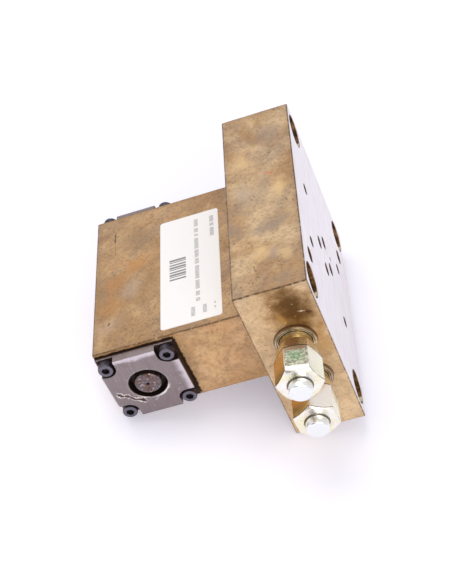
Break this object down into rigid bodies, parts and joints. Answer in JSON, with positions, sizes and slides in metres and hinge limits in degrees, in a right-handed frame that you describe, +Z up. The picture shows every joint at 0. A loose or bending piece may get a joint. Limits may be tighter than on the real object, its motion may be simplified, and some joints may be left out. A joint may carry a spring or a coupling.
{
  "type": "non-return valve",
  "caption": "Hydraulic non-return valve block: ported mounting plate with a valve body, end covers with release plungers, and screw-in relief cartridges.",
  "frame": {"origin": "centre of the port face, where the port circle's axis meets the face", "axes": "+X out of the port face, +Y away from the relief cartridges along the plate's length, +Z up the plate's height"},
  "size_m": [0.13, 0.1883, 0.11],
  "materials": {
    "block_metal": "machined, mottled golden-brown patina, semi-gloss",
    "ground_steel": "ground, scratched",
    "black_screw": "blue-black oxide, satin",
    "rod_steel": "turned, lightly pitted",
    "zinc_plate": "bright zinc plate with a yellow-green tint",
    "inner_steel": "hardened, ground",
    "spring_steel": "oil-tempered wire",
    "gland_bronze": "turned bronze, dark with oil",
    "seal_rubber": "black nitrile",
    "label_paper": "matt white"
  },
  "bodies": {
    "root": {"base_block": "block_metal", "valve_body": "block_metal", "body_screws": "black_screw", "joint_seals": "seal_rubber", "drilling_plugs": "inner_steel", "label": "label_paper", "front_cover": "ground_steel", "front_cover_screws": "black_screw", "front_gland": "gland_bronze", "front_gland_seals": "seal_rubber", "front_seat_sleeve": "inner_steel", "front_sleeve_seals": "seal_rubber", "front_check_spring": "spring_steel", "rear_cover": "ground_steel", "rear_cover_screws": "black_screw", "rear_gland": "gland_bronze", "rear_gland_seals": "seal_rubber", "rear_seat_sleeve": "inner_steel", "rear_sleeve_seals": "seal_rubber", "rear_check_spring": "spring_steel", "upper_cartridge": "zinc_plate", "upper_seal_ring": "zinc_plate", "upper_nose_seal": "seal_rubber", "upper_cap_nut": "zinc_plate", "upper_relief_spring": "spring_steel", "upper_adjusting_screw": "inner_steel", "upper_lock_nut": "zinc_plate", "lower_cartridge": "zinc_plate", "lower_seal_ring": "zinc_plate", "lower_nose_seal": "seal_rubber", "lower_cap_nut": "zinc_plate", "lower_relief_spring": "spring_steel", "lower_adjusting_screw": "inner_steel", "lower_lock_nut": "zinc_plate"},
    "front_plunger_body": {"front_plunger": "rod_steel"},
    "front_poppet_body": {"front_poppet": "inner_steel"},
    "rear_plunger_body": {"rear_plunger": "rod_steel"},
    "rear_poppet_body": {"rear_poppet": "inner_steel"},
    "upper_relief_body": {"upper_relief_poppet": "inner_steel"},
    "lower_relief_body": {"lower_relief_poppet": "inner_steel"}
  },
  "joints": [
    {"name": "front_plunger_slide", "type": "slide", "parent": "root", "child": "front_plunger_body", "axis": [0, 1, 0], "range_m": [0, 0.003], "stiffness_N_per_m": 2000, "springref_m": -0.0045},
    {"name": "front_poppet_slide", "type": "slide", "parent": "root", "child": "front_poppet_body", "axis": [0, 1, 0], "range_m": [0, 0.003], "deforming": ["front_check_spring"]},
    {"name": "rear_plunger_slide", "type": "slide", "parent": "root", "child": "rear_plunger_body", "axis": [0, -1, 0], "range_m": [0, 0.003], "stiffness_N_per_m": 2000, "springref_m": -0.0045},
    {"name": "rear_poppet_slide", "type": "slide", "parent": "root", "child": "rear_poppet_body", "axis": [0, -1, 0], "range_m": [0, 0.003], "deforming": ["rear_check_spring"]},
    {"name": "upper_relief_slide", "type": "slide", "parent": "root", "child": "upper_relief_body", "axis": [0, -1, 0], "range_m": [0, 0.002], "stiffness_N_per_m": 400, "springref_m": -0.004, "deforming": ["upper_relief_spring"]},
    {"name": "lower_relief_slide", "type": "slide", "parent": "root", "child": "lower_relief_body", "axis": [0, -1, 0], "range_m": [0, 0.002], "stiffness_N_per_m": 400, "springref_m": -0.004, "deforming": ["lower_relief_spring"]}
  ],
  "couplings": [
    {"joint": "front_poppet_slide", "follows": "front_plunger_slide", "ratio": 1},
    {"joint": "rear_poppet_slide", "follows": "rear_plunger_slide", "ratio": 1}
  ]
}
